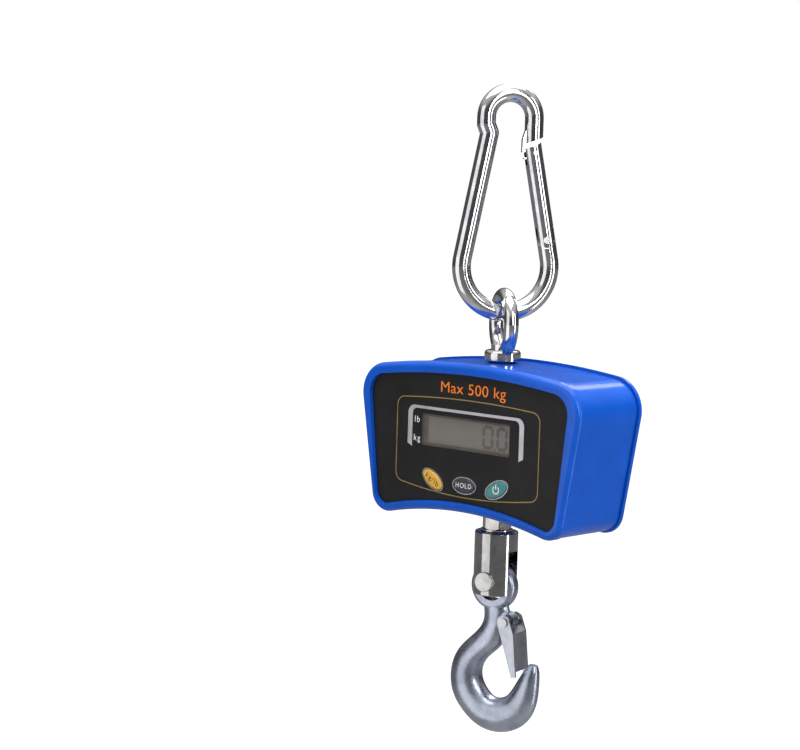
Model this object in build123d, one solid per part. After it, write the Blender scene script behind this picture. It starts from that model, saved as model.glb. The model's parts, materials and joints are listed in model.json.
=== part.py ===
from build123d import *
import os
from math import atan2, cos, hypot, radians, sin, tan

os.makedirs("parts", exist_ok=True)

# Hand-held crane scale for 500 kg: a snap hook, a lifting eye, a plastic housing
# with a load cell and electronics, and a forged swivel hook below.
# Millimetres, +Z up, the display faces -Y. The origin is the inside top of the
# snap hook's head, on the load line, which is where the scale hangs from.

# ---------------------------------------------------------------- snap hook
WIRE = 11.0                      # round bar of the snap hook
WIRE_R = WIRE / 2
SNAP_YAW = 57.0                  # the snap hook's plane is turned about the load line
HEAD_R = 14.5                    # head bend, to the middle of the bar
HEAD_Z = WIRE_R - HEAD_R         # centre of the head bend
BOW_R = 26.8                     # lower bend, to the middle of the bar
BOW_Z = -96.2                    # centre of the lower bend
LEG_SLOPE = 10.8                 # legs lean in towards the head, degrees
SHOULDER_TOP = -13.2             # the back leg kinks in below the head
SHOULDER_FOOT = -18.2
HINGE_Z = -80.0                  # gate rivet
HINGE_INSET = 1.0                # the rivet sits this far inside the bar's middle line
HINGE_R = 4.6                    # round end of the gate about the rivet
HINGE_TONGUE_R = 4.2             # round end of the tongue inside the gate
HINGE_GAP = 0.35                 # gap round the gate's lower end
GATE_FOOT = 7.0                  # the gate's outer side ends this far above the rivet
GATE_TOP_Z = -24.5               # top of the gate at the middle of the bar
NOSE_GAP = 2.6                   # gap between nose and gate, along the bar
NOSE_CUT = 22.0                  # slant of the cut at the nose, degrees
TONGUE = 3.6                     # flat tongues at both ends of the gate
NOSE_INNER_X = 7.6               # inner edge of the flat tongue below the nose
TONGUE_GAP = 0.35                # side clearance of a tongue in its slot
RIVET_R = 2.0
GATE_PIN_R = 1.25
GATE_PIN_DROP = 4.6              # gate pin, below the gate's top
PIN_SLACK = 0.4                  # room round the gate pin in the tongue's notch
GATE_BORE_R = 2.6                # bore for the gate's spring
RUNNING_GAP = 0.05               # radial clearance of a pin that turns in a hole

# ---------------------------------------------------------------- lifting eye
EYE_WIRE = 8.7
EYE_OUTER_R = 21.0
EYE_Z = -129.5                   # centre of the ring
COLLAR_R = 10.8
COLLAR_ROUND = 2.2
COLLAR_TOP = -145.2
COLLAR_BOTTOM = -151.9
THREAD_R = 5.0                   # M10, as the lower nut
THREAD_DEPTH = 14.0              # how far both threads reach into the load cell
TOP_SEAL_R = 8.0                 # rubber bushes where the shanks pass the housing
BOTTOM_SEAL_R = 11.0
SLEEVE_R = 7.0                   # spacer between load cell and nut

# ---------------------------------------------------------------- housing
HOUSING_Z = -205.1               # middle height of the housing
HALF_TOP = 88.8                  # half width at the upper corners
HALF_BOTTOM = 73.1               # half width at the lower corners
HALF_HIGH = 45.1                 # corner height above and below the middle
TOP_RISE = 7.8                   # crown of the top
BOTTOM_RISE = 10.2               # the bottom is arched up in the middle
TOP_CORNER = 18.7
BOTTOM_CORNER = 12.3
FRONT_Y = -32.5
REAR_Y = 24.5
WALL = 3.0
BAND_DEPTH = 8.7                 # raised band round the front
BAND_STEP = 0.6
RIM_ROUND = 4.0
RECESS = 2.5                     # the black panel lies this far behind the rim
OVERLAY = 0.8                    # thickness of the black panel
COVER_DEPTH = 3.4                # the rear cover's visible lip
COVER_STEP = 0.8                 # how far that lip stands proud
SEAL = 0.5

PANEL_Y = FRONT_Y + RECESS
WALL_FRONT = PANEL_Y + OVERLAY
WALL_BACK = WALL_FRONT + 2.4
COVER_Y = REAR_Y - COVER_DEPTH
SHELL_END = COVER_Y - SEAL

WINDOW_X = -0.8                  # display window, from the housing's middle
WINDOW_Z = 11.1
WINDOW_WIDE = 69.4
WINDOW_HIGH = 19.0
BUTTON_LONG = 19.0               # oval buttons with their bright rims
BUTTON_HIGH = 10.4
RIM_WIDTH = 0.75
BUTTONS = {                      # name: (x, z from the middle, turn in degrees)
    "units_button": (-24.8, -18.0, -30.0),
    "function_button": (0.5, -18.7, 0.0),
    "power_button": (25.7, -18.0, 25.0),
}

BOARD_FRONT = -19.0
BOARD_THICK = 1.6
BOARD_WIDE = 96.0
BOARD_HIGH = 56.0
SOCKET_HIGH = 4.2
BOARD_HOLES = [(x, z) for x in (-44.0, 44.0) for z in (-23.0, 25.5)]
BOSSES = [(-77, 31), (77, 31), (-63, -34.5), (63, -34.5), (-32, 44), (32, 44)]
BOSS_R = 3.6
SCREW_R = 1.25                   # screws of the rear cover
SCREW_HEAD_R = 2.8
SCREW_SEAT = 2.6                 # their heads sit this deep
POST_R = 2.6                     # posts of the circuit board
BOARD_SCREW_R = 1.0

CELL_WIDE = 46.0                 # S-shaped load cell
CELL_DEEP = 19.0
CELL_TOP = -164.0
CELL_BOTTOM = -226.0
CELL_SLOT = 3.0

BATTERY_R = 6.9                  # three AA cells, upright
BATTERY_LONG = 50.0
BATTERY_PITCH = 14.0
BATTERY_X = 48.5
BATTERY_Z = 0.0                  # from the housing's middle
BATTERY_Y = 12.4
BOX_WALL = 1.2
TRAY_FRONT = BATTERY_Y - BATTERY_R - 0.8
DOOR_WIDE = 46.0
DOOR_HIGH = 60.0

# ---------------------------------------------------------------- swivel and hook
HOOK_YAW = 12.0                  # the hook hangs turned about the load line
NUT_FLATS = 16.0
NUT_TOP = -243.6
NUT_HIGH = 8.4
CLEVIS_R = 13.0
CLEVIS_TOP = -253.2
CLEVIS_BOTTOM = -291.2
SLOT_TOP = -264.6
SLOT_WIDE = 10.6
WEB_BOTTOM = -260.2              # underside of the clevis' top web
BOLT_HEAD_TOP = WEB_BOTTOM - 1.6
BOLT_HEAD_HIGH = 4.2
BOLT_HEAD_R = 8.0
HEAD_SPACE = 0.6                 # room round the bolt's head in the clevis
PIN_R = 4.5
PIN_Z = -282.5
PIN_HEAD_R = 5.9
EYE_HOLE_R = 8.6                 # hole in the forged hook's eye
HOOK_EYE_R = 14.8
HOOK_EYE_THICK = 9.6
HANG_GAP = 0.15                  # the eye rests this close on the pin
HOOK_EYE_Z = PIN_Z - (EYE_HOLE_R - PIN_R - HANG_GAP)
EAR_THICK = 7.0                  # ear that carries the latch
LATCH_X = 11.0
LATCH_Z = -306.4
LATCH_SHEET = 1.5
LATCH_INNER = 6.8                # half gap between the latch's cheeks
LATCH_RIVET_R = 2.0


# ---------------------------------------------------------------- helpers
def slab(sketch, y_front, y_rear):
    """Extrude an upright sketch, drawn in x and z, between two depths."""
    return extrude(Plane.XZ.offset(-y_rear) * sketch, amount=y_rear - y_front)


def rod(radius, x, z, y_front, y_rear):
    """A round bar along Y."""
    return slab(Pos(x, z) * Circle(radius), y_front, y_rear)


def post(radius, z_low, z_high, x=0.0, y=0.0):
    """A round bar along Z."""
    return Pos(x, y, z_low) * extrude(Circle(radius), amount=z_high - z_low)


def block(x_low, x_high, y_low, y_high, z_low, z_high):
    """A plain box between its low and high corners."""
    middle = ((x_low + x_high) / 2, (y_low + y_high) / 2, (z_low + z_high) / 2)
    return Pos(*middle) * Box(x_high - x_low, y_high - y_low, z_high - z_low)


def group(solids):
    """Join separate pieces of one kind into one node."""
    return Compound(children=list(solids))


def arched_face(half_top, half_bottom, z_top, z_bottom, rise, arch, r_top, r_bottom):
    """The housing's upright outline: wide crowned top, narrow arched bottom."""
    top_left, top_right = (-half_top, z_top), (half_top, z_top)
    low_left, low_right = (-half_bottom, z_bottom), (half_bottom, z_bottom)
    outline = ThreePointArc(top_left, (0, z_top + rise), top_right)
    outline += Line(top_right, low_right)
    outline += ThreePointArc(low_right, (0, z_bottom + arch), low_left)
    outline += Line(low_left, top_left)
    face = make_face(outline)
    middle = (z_top + z_bottom) / 2
    face = fillet(face.vertices().filter_by(lambda v: v.Y > middle), r_top)
    return fillet(face.vertices().filter_by(lambda v: v.Y < z_bottom + 2), r_bottom)


def housing_face(grow=0.0):
    """The housing's outline, grown or shrunk by the same amount all round."""
    side = grow / cos(atan2(HALF_TOP - HALF_BOTTOM, 2 * HALF_HIGH))
    lean = (HALF_TOP - HALF_BOTTOM) / (2 * HALF_HIGH)
    face = arched_face(
        HALF_TOP + side + grow * lean,
        HALF_BOTTOM + side - grow * lean,
        HALF_HIGH + grow,
        -HALF_HIGH - grow,
        TOP_RISE,
        BOTTOM_RISE,
        TOP_CORNER + grow,
        BOTTOM_CORNER + grow,
    )
    return Pos(0, HOUSING_Z) * face


def panel_face(shrink=0.0):
    """The black panel's outline inside the rim."""
    face = arched_face(
        79.1 - shrink, 70.2 - shrink, 40.0 - shrink, -39.2 + shrink, 6.2, 10.0, 12.0, 8.0
    )
    return Pos(0, HOUSING_Z) * face


def window_face(grow=0.0):
    """The display window."""
    shape = RectangleRounded(WINDOW_WIDE + 2 * grow, WINDOW_HIGH + 2 * grow, 1.2 + max(grow, 0))
    return Pos(WINDOW_X, HOUSING_Z + WINDOW_Z) * shape


def button_face(name, inset):
    """One oval button's outline, made smaller by the inset."""
    x, z, turn = BUTTONS[name]
    oval = Ellipse(BUTTON_LONG / 2 - inset, BUTTON_HIGH / 2 - inset)
    return Pos(x, HOUSING_Z + z) * Rot(0, 0, turn) * oval


# ---------------------------------------------------------------- snap hook
def leg_x(z):
    """Middle of either leg, measured out from the load line, at height z."""
    foot_x = BOW_R * cos(radians(LEG_SLOPE))
    foot_z = BOW_Z + BOW_R * sin(radians(LEG_SLOPE))
    return foot_x - (z - foot_z) * tan(radians(LEG_SLOPE))


def snap_place(shape):
    """Turn a piece drawn in the X-Z plane into the snap hook's plane."""
    return Rot(0, 0, SNAP_YAW) * shape


def along_gate(z):
    """A plane across the gate at height z, its normal up along the gate."""
    lean = radians(LEG_SLOPE)
    return Plane((leg_x(z), 0, z), x_dir=(cos(lean), 0, sin(lean)), z_dir=(-sin(lean), 0, cos(lean)))


def snap_bar():
    """The bent bar: nose, head, back leg, bow and the stub below the gate."""
    nose_x = HEAD_R
    nose = Line((nose_x, 0, GATE_TOP_Z - 4), (nose_x, 0, HEAD_Z))
    crown = ThreePointArc((nose_x, 0, HEAD_Z), (0, 0, WIRE_R), (-nose_x, 0, HEAD_Z))
    cheek = Line((-nose_x, 0, HEAD_Z), (-nose_x, 0, SHOULDER_TOP))
    neck_x = leg_x(SHOULDER_FOOT)
    neck = Line((-nose_x, 0, SHOULDER_TOP), (-neck_x, 0, SHOULDER_FOOT))
    foot_z = BOW_Z + BOW_R * sin(radians(LEG_SLOPE))
    foot_x = leg_x(foot_z)
    leg = Line((-neck_x, 0, SHOULDER_FOOT), (-foot_x, 0, foot_z))
    bow = ThreePointArc((-foot_x, 0, foot_z), (0, 0, BOW_Z - BOW_R), (foot_x, 0, foot_z))
    stub_z = HINGE_Z + GATE_FOOT
    stub = Line((foot_x, 0, foot_z), (leg_x(stub_z), 0, stub_z))
    bar = Part()
    for run in (nose, crown, cheek, neck, leg, bow, stub):
        start = Plane(origin=run @ 0, z_dir=run % 0)
        bar += sweep(start * Circle(WIRE_R), path=run)
    for kink in (neck @ 0, neck @ 1):
        bar += Pos(kink.X, kink.Y, kink.Z) * Sphere(WIRE_R)
    return bar


def gate_cut(z, above):
    """A large block whose slanted face cuts the bar across at height z."""
    low, high = (z, z + 60) if above else (z - 60, z)
    cutter = block(-30, 40, -20, 20, low, high)
    return Pos(HEAD_R, 0, z) * Rot(0, -NOSE_CUT, 0) * Pos(-HEAD_R, 0, -z) * cutter


def hinge_x():
    """How far the gate's rivet is from the load line."""
    return leg_x(HINGE_Z) - HINGE_INSET


def hinge_round(radius, half_thick):
    """A round drum about the gate's rivet."""
    return rod(radius, hinge_x(), HINGE_Z, -half_thick, half_thick)


def hinge_block(x_low, x_high, half_thick, z_low, z_high):
    """A box placed from the rivet and leaning with the gate."""
    box = block(x_low, x_high, -half_thick, half_thick, z_low, z_high)
    return Pos(hinge_x(), 0, HINGE_Z) * Rot(0, -LEG_SLOPE, 0) * box


def gate_pin_place():
    """Where the gate's small cross pin sits, on the gate's middle line."""
    pin_z = GATE_TOP_Z - GATE_PIN_DROP
    return leg_x(pin_z), pin_z


def nose_tongue():
    """Flat tongue below the nose; its notch takes the gate's pin when shut."""
    pin_x, pin_z = gate_pin_place()
    outline = Polyline(
        (HEAD_R, GATE_TOP_Z + 9),
        (NOSE_INNER_X + 1.8, GATE_TOP_Z + 9),
        (NOSE_INNER_X, GATE_TOP_Z + 3),
        (NOSE_INNER_X, pin_z - 1.4),
        (NOSE_INNER_X + 1.2, pin_z - 3.8),
        (HEAD_R + 2, pin_z - 3.4),
        (HEAD_R + 3, GATE_TOP_Z + 2),
        (HEAD_R, GATE_TOP_Z + 9),
    )
    plate = make_face(outline)
    plate = fillet(plate.vertices(), 1.0)
    plate = slab(plate, -TONGUE / 2, TONGUE / 2)
    reach = hypot(pin_x - hinge_x(), pin_z - HINGE_Z)
    slot = GATE_PIN_R + PIN_SLACK
    ring = hinge_round(reach + slot, TONGUE) - hinge_round(reach - slot, TONGUE)
    notch = ring & block(0, pin_x, -TONGUE, TONGUE, pin_z - 12, pin_z + 12)
    return plate - notch - rod(slot, pin_x, pin_z, -TONGUE, TONGUE)


def gate_pocket():
    """Room for the gate's round end beside the tongue in the stub."""
    reach = HINGE_R + HINGE_GAP
    around = hinge_round(reach, 10) + hinge_block(-12, reach, 10, 0, GATE_FOOT + 2)
    return around + hinge_block(-12, 12, 10, GATE_FOOT - HINGE_GAP, GATE_FOOT + 3)


def carabiner_body():
    """Bent bar with the nose cut, the nose tongue and the hinge tongue."""
    bar = snap_bar()
    gate_side = block(2, 40, -8, 8, HINGE_Z - 15, GATE_TOP_Z + 1)
    nose_side = block(2, 40, -8, 8, GATE_TOP_Z + 1, HEAD_Z)
    stub = (bar & gate_side) & block(2, 40, -8, 8, HINGE_Z - 15, HINGE_Z + GATE_FOOT + 3)
    tongue_slice = block(2, 40, -TONGUE / 2, TONGUE / 2, HINGE_Z - 15, HINGE_Z + GATE_FOOT)
    tongue = (stub & tongue_slice) - hinge_block(-12, 12, 10, 0, 12)
    tongue += hinge_round(HINGE_TONGUE_R, TONGUE / 2)
    stub = (stub - gate_pocket()) + tongue
    nose = (bar & block(2, 40, -8, 8, GATE_TOP_Z - 5, HEAD_Z)) & gate_cut(GATE_TOP_Z + NOSE_GAP, True)
    rest = bar - gate_side - nose_side
    body = rest + stub + nose + nose_tongue() - hinge_round(RIVET_R + RUNNING_GAP, 10)
    return snap_place(body)


def carabiner_gate():
    """Straight bar with a slot at each end for the tongues."""
    top = GATE_TOP_Z + 3
    length = (top - HINGE_Z + 9) / cos(radians(LEG_SLOPE))
    bar = extrude(along_gate(HINGE_Z - 9) * Circle(WIRE_R), amount=length)
    bar = bar & gate_cut(GATE_TOP_Z, False)
    keep = hinge_round(HINGE_R, 10) + hinge_block(-12, HINGE_R, 10, 0, GATE_FOOT)
    bar = bar & (keep + hinge_block(-12, 20, 10, GATE_FOOT, 80))
    gap = TONGUE / 2 + TONGUE_GAP
    slot_top = GATE_FOOT + 0.8
    hinge_slot = hinge_block(-12, 12, gap, -14, slot_top)
    pin_x, pin_z = gate_pin_place()
    nose_slot = Pos(pin_x, 0, pin_z) * Rot(0, -LEG_SLOPE, 0) * block(-12, 12, -gap, gap, -6.6, 14)
    bore = extrude(along_gate(HINGE_Z + slot_top - 1) * Circle(GATE_BORE_R), amount=20)
    gate = bar - hinge_slot - nose_slot - bore
    gate = gate - hinge_round(RIVET_R, 10) - rod(GATE_PIN_R, pin_x, pin_z, -8, 8)
    return snap_place(gate)


def gate_rivet():
    """Rivet that is tight in the gate and loose in the tongue, ground nearly flush."""
    return snap_place(hinge_round(RIVET_R, WIRE_R - 0.1))


def gate_pin():
    """Small cross pin near the gate's top."""
    x, z = gate_pin_place()
    return snap_place(rod(GATE_PIN_R, x, z, -WIRE_R + 0.1, WIRE_R - 0.1))


def gate_spring():
    """Compression spring in the gate's bore, which pushes the gate shut."""
    coil_r, wire_r, height = 1.9, 0.4, 16.0
    path = Helix(pitch=2.0, height=height, radius=coil_r)
    section = Plane(origin=path @ 0, z_dir=path % 0) * Circle(wire_r)
    spring = sweep(section, path=path, is_frenet=True)
    return snap_place(along_gate(HINGE_Z + GATE_FOOT + 1.5).location * spring)


# ---------------------------------------------------------------- lifting eye
def lifting_eye():
    """Forged ring on a collar, with a threaded shank down into the load cell."""
    centre_r = EYE_OUTER_R - EYE_WIRE / 2
    ring = Pos(0, 0, EYE_Z) * Rot(90, 0, 0) * Torus(centre_r, EYE_WIRE / 2)
    collar = post(COLLAR_R, COLLAR_BOTTOM, COLLAR_TOP)
    collar = fillet(collar.edges().filter_by(GeomType.CIRCLE).group_by(Axis.Z)[-1], COLLAR_ROUND)
    collar = chamfer(collar.edges().group_by(Axis.Z)[0], 0.6)
    shank = post(THREAD_R, CELL_TOP - THREAD_DEPTH, COLLAR_BOTTOM)
    root = post(7.0, COLLAR_TOP, COLLAR_TOP + 3.2)
    return Rot(0, 0, SNAP_YAW - 90) * (ring + collar + root + shank)


def eye_seal():
    """Rubber bush that closes the hole in the housing's top."""
    crown = HOUSING_Z + HALF_HIGH + TOP_RISE
    return post(TOP_SEAL_R, crown - WALL, crown) - post(THREAD_R + 0.1, -200, -100)


# ---------------------------------------------------------------- housing
def front_housing():
    """Deep front shell: raised band, rim, recessed panel seat, open at the back."""
    band = slab(housing_face(), FRONT_Y, FRONT_Y + BAND_DEPTH)
    band = fillet(band.faces().sort_by(Axis.Y)[0].edges(), RIM_ROUND)
    back_edges = band.faces().sort_by(Axis.Y)[-1].edges()
    band = chamfer(back_edges, BAND_STEP)
    shell = band + slab(housing_face(-BAND_STEP), FRONT_Y + BAND_DEPTH - 1, SHELL_END)
    shell -= slab(panel_face(), FRONT_Y - 1, WALL_FRONT)
    shell -= slab(housing_face(-WALL - BAND_STEP), WALL_BACK, SHELL_END + 1)
    for x, z in BOSSES:
        shell += rod(BOSS_R, x, HOUSING_Z + z, WALL_BACK, SHELL_END - 3.4) & slab(
            housing_face(-1), WALL_BACK - 1, SHELL_END
        )
        shell -= rod(SCREW_R, x, HOUSING_Z + z, SHELL_END - 18, SHELL_END)
    for x, z in BOARD_HOLES:
        shell += rod(POST_R, x, HOUSING_Z + z, WALL_BACK, BOARD_FRONT)
        shell -= rod(BOARD_SCREW_R, x, HOUSING_Z + z, BOARD_FRONT - 6, BOARD_FRONT)
    shell -= slab(window_face(-0.8), WALL_FRONT - 1, WALL_BACK + 1)
    shell -= slab(window_face(1.2), WALL_FRONT - 1, WALL_FRONT + 0.6)
    for name in BUTTONS:
        shell -= slab(button_face(name, RIM_WIDTH), FRONT_Y, WALL_BACK + 1)
    shell -= post(TOP_SEAL_R, HOUSING_Z + 30, HOUSING_Z + 60)
    shell -= post(BOTTOM_SEAL_R, HOUSING_Z - 60, HOUSING_Z - 25)
    return shell


def rear_cover():
    """Rear plate with a proud lip, a locating ledge and the battery opening."""
    plate = slab(housing_face(COVER_STEP), COVER_Y, REAR_Y)
    plate = fillet(plate.faces().sort_by(Axis.Y)[-1].edges(), 1.6)
    inside = -WALL - BAND_STEP - 0.3
    ledge = slab(housing_face(inside), COVER_Y - 3, COVER_Y)
    ledge -= slab(housing_face(inside - 1.6), COVER_Y - 4, COVER_Y - 0.5)
    for x, z in BOSSES:
        ledge -= rod(BOSS_R + 0.6, x, HOUSING_Z + z, COVER_Y - 4, COVER_Y - 0.5)
    cover = plate + ledge
    for x, z in BOSSES:
        cover += rod(3.2, x, HOUSING_Z + z, SHELL_END - 3.2, COVER_Y + 1)
        cover -= rod(SCREW_R + 0.45, x, HOUSING_Z + z, COVER_Y - 6, REAR_Y + 1)
        cover -= rod(SCREW_HEAD_R + 0.3, x, HOUSING_Z + z, REAR_Y - SCREW_SEAT, REAR_Y + 1)
    opening = RectangleRounded(DOOR_WIDE - 3, DOOR_HIGH - 4, 2)
    cover -= slab(Pos(BATTERY_X, HOUSING_Z + BATTERY_Z) * opening, COVER_Y - 5, REAR_Y + 1)
    seat = RectangleRounded(DOOR_WIDE + 0.6, DOOR_HIGH + 0.6, 3.2)
    cover -= slab(Pos(BATTERY_X, HOUSING_Z + BATTERY_Z) * seat, REAR_Y - 1.9, REAR_Y + 1)
    return cover


def cover_seal():
    """Rubber gasket that shows as the dark line between shell and cover."""
    return slab(housing_face(-1.3) - housing_face(-WALL - BAND_STEP), SHELL_END, COVER_Y)


def cover_screws():
    """Six pan-head screws that hold the rear cover."""
    screws = []
    for x, z in BOSSES:
        head = rod(SCREW_HEAD_R, x, HOUSING_Z + z, REAR_Y - SCREW_SEAT, REAR_Y - 0.7)
        head = fillet(head.faces().sort_by(Axis.Y)[-1].edges(), 0.7)
        shank = rod(SCREW_R, x, HOUSING_Z + z, REAR_Y - 17, REAR_Y - SCREW_SEAT)
        drive = block(x - 1.5, x + 1.5, REAR_Y - 1.7, REAR_Y, HOUSING_Z + z - 0.3, HOUSING_Z + z + 0.3)
        cross = block(x - 0.3, x + 0.3, REAR_Y - 1.7, REAR_Y, HOUSING_Z + z - 1.5, HOUSING_Z + z + 1.5)
        screws.append(head + shank - drive - cross)
    return group(screws)


def faceplate():
    """Black panel that fills the recess, with holes for window and buttons."""
    plate = slab(panel_face(0.15), PANEL_Y, WALL_FRONT)
    plate -= slab(window_face(), PANEL_Y - 1, WALL_FRONT + 1)
    for name in BUTTONS:
        plate -= slab(button_face(name, RIM_WIDTH), PANEL_Y - 1, WALL_FRONT + 1)
    return plate


def display_window():
    """Clear lens that sits in the front wall, flush with the panel."""
    flange = slab(window_face(1.1), WALL_FRONT, WALL_FRONT + 0.6)
    return slab(window_face(-0.1), PANEL_Y + 0.1, WALL_FRONT) + flange


def display_trim():
    """Bright bracket over the display window, open below, its legs cut on the slant."""
    outer = Pos(-1.0, 0) * RectangleRounded(91.4, 50.0, 5)
    inner = Pos(-0.9, -6.7) * RectangleRounded(84.3, 60, 3.4)
    keep = make_face(
        Polyline((-48, 26), (46, 26), (46, 2.4), (41.2, 0), (-43.0, 0), (-48, 2.4), (-48, 26))
    )
    shape = (outer & keep) - inner
    return slab(Pos(0, HOUSING_Z) * shape, PANEL_Y - 0.3, PANEL_Y)


def button(name):
    """Oval key cap with a retaining flange and a stem above its switch."""
    x, z, turn = BUTTONS[name]
    cap = slab(button_face(name, RIM_WIDTH + 0.3), PANEL_Y - 1.3, WALL_BACK + 0.4)
    cap = fillet(cap.faces().sort_by(Axis.Y)[0].edges(), 0.8)
    flange = slab(button_face(name, -0.6), WALL_BACK + 0.3, WALL_BACK + 1.1)
    stem = rod(1.6, x, HOUSING_Z + z, WALL_BACK + 1.0, WALL_BACK + 1.9)
    return cap + flange + stem


def button_rims():
    """Three bright oval rims round the buttons."""
    rims = []
    for name in BUTTONS:
        ring = slab(button_face(name, 0) - button_face(name, RIM_WIDTH), PANEL_Y - 0.7, PANEL_Y)
        rims.append(ring)
    return group(rims)


# ---------------------------------------------------------------- electronics
def lcd_glass():
    """Liquid crystal cell behind the window."""
    shape = Pos(WINDOW_X, HOUSING_Z + WINDOW_Z) * Rectangle(76, 25)
    return slab(shape, WALL_BACK + 0.3, WALL_BACK + 3.1)


def lcd_holder():
    """White frame and light guide that hold the glass off the board."""
    outer = Pos(WINDOW_X, HOUSING_Z + WINDOW_Z) * Rectangle(79, 28)
    pocket = Pos(WINDOW_X, HOUSING_Z + WINDOW_Z) * Rectangle(76, 25)
    holder = slab(outer, WALL_BACK + 0.5, BOARD_FRONT)
    return holder - slab(pocket, WALL_BACK, WALL_BACK + 3.1)


def main_board():
    """Circuit board behind the front wall."""
    shape = Pos(0, HOUSING_Z + 1.0) * RectangleRounded(BOARD_WIDE, BOARD_HIGH, 2)
    for x, z in BOARD_HOLES:
        shape -= Pos(x, HOUSING_Z + z) * Circle(1.3)
    return slab(shape, BOARD_FRONT, BOARD_FRONT + BOARD_THICK)


def board_chips():
    """Converter, controller, regulator, buzzer and sockets on the board's back."""
    y = BOARD_FRONT + BOARD_THICK
    z = HOUSING_Z
    chips = [
        block(-12, -2, y, y + 1.8, z + 4, z + 14),
        block(8, 15, y, y + 1.6, z - 4, z + 6),
        block(20, 24, y, y + 1.4, z - 18, z - 14),
        block(-36, -26, y, y + SOCKET_HIGH, z - 20, z - 14),
        block(30, 40, y, y + SOCKET_HIGH, z - 20, z - 14),
    ]
    buzzer = rod(6.0, -30, z + 12, y, y + 5.5) - rod(0.9, -30, z + 12, y + 4, y + 6)
    return group(chips + [buzzer])


def board_screws():
    """Four small screws that hold the board on its posts."""
    screws = []
    y = BOARD_FRONT + BOARD_THICK
    for x, z in BOARD_HOLES:
        head = rod(2.1, x, HOUSING_Z + z, y, y + 1.6)
        screws.append(head + rod(BOARD_SCREW_R, x, HOUSING_Z + z, y - 7, y))
    return group(screws)


def tact_switches():
    """One push switch on the board under each button."""
    switches = []
    for x, z, turn in BUTTONS.values():
        base = block(x - 3, x + 3, BOARD_FRONT - 3.4, BOARD_FRONT, HOUSING_Z + z - 3, HOUSING_Z + z + 3)
        plunger = rod(1.7, x, HOUSING_Z + z, BOARD_FRONT - 4.9, BOARD_FRONT - 3.4)
        switches.append(base + plunger)
    return group(switches)


def load_cell():
    """S-shaped steel block whose middle web bends under load."""
    half = CELL_WIDE / 2
    deep = CELL_DEEP / 2
    cell = block(-half, half, -deep, deep, CELL_BOTTOM, CELL_TOP)
    cell = fillet(cell.edges().filter_by(Axis.Y), 1.5)
    middle = (CELL_TOP + CELL_BOTTOM) / 2
    for side in (-1, 1):
        z = middle + side * 14.0
        x_low, x_high = sorted((side * half * 1.1, -side * (half - 9)))
        cell -= block(x_low, x_high, -20, 20, z - CELL_SLOT / 2, z + CELL_SLOT / 2)
    for side in (-1, 1):
        cell -= rod(5.0, side * 5.2, middle, -20, 20)
    cell -= block(-5.2, 5.2, -20, 20, middle - 2.2, middle + 2.2)
    cell -= post(THREAD_R, CELL_TOP - THREAD_DEPTH - 0.5, CELL_TOP + 1)
    return cell - post(THREAD_R, CELL_BOTTOM - 1, CELL_BOTTOM + THREAD_DEPTH + 0.5)


def gauge_cover():
    """Sealing plates over the strain gauges, front and back of the load cell."""
    middle = (CELL_TOP + CELL_BOTTOM) / 2
    deep = CELL_DEEP / 2
    plates = [
        block(-12, 12, deep, deep + 1.2, middle - 8, middle + 8),
        block(-12, 12, -deep - 1.2, -deep, middle - 8, middle + 8),
    ]
    return group(plates)


def lead(points, radii, radius):
    """A short insulated lead along straight runs with round bends."""
    path = FilletPolyline(*points, radius=radii)
    start = Plane(origin=path @ 0, z_dir=path % 0)
    return sweep(start * Circle(radius), path=path)


def cell_lead():
    """Screened lead from the load cell to its socket on the board."""
    z = HOUSING_Z - 17
    points = [
        (-CELL_WIDE / 2, 0, z + 11),
        (-31, 0, z + 11),
        (-31, 0, z),
        (-31, BOARD_FRONT + BOARD_THICK + SOCKET_HIGH, z),
    ]
    return lead(points, [4.0, 4.0], 1.3)


def battery_lead():
    """Lead from the battery box to its socket on the board."""
    z = HOUSING_Z - 17
    box_front = TRAY_FRONT - BOX_WALL
    points = [
        (35, box_front, z - 5),
        (35, -1.5, z - 5),
        (35, -6.5, z),
        (35, BOARD_FRONT + BOARD_THICK + SOCKET_HIGH, z),
    ]
    return lead(points, [3.0, 3.0], 1.1)


# ---------------------------------------------------------------- battery
def battery_box():
    """Open tray behind the battery door."""
    wide, high = DOOR_WIDE - 3, DOOR_HIGH - 4
    x, z = BATTERY_X, HOUSING_Z + BATTERY_Z
    outer = block(
        x - wide / 2,
        x + wide / 2,
        TRAY_FRONT - BOX_WALL,
        COVER_Y - 0.5,
        z - high / 2,
        z + high / 2,
    )
    pocket = block(
        x - wide / 2 + BOX_WALL * 0.5,
        x + wide / 2 - BOX_WALL * 0.5,
        TRAY_FRONT,
        REAR_Y,
        z - high / 2 + BOX_WALL,
        z + high / 2 - BOX_WALL,
    )
    return outer - pocket


def battery_cells():
    """Three AA cells, the middle one upside down."""
    cells = []
    for index in (-1, 0, 1):
        x = BATTERY_X + index * BATTERY_PITCH
        z = HOUSING_Z + BATTERY_Z
        up = -1 if index == 0 else 1
        low = z - BATTERY_LONG / 2
        can = post(BATTERY_R, low, low + BATTERY_LONG, x, BATTERY_Y)
        can = fillet(can.edges().filter_by(GeomType.CIRCLE), 0.5)
        tip = z + up * (BATTERY_LONG / 2)
        nub = post(2.7, min(tip, tip + up * 1.3), max(tip, tip + up * 1.3), x, BATTERY_Y)
        cells.append(can + nub)
    return group(cells)


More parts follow.
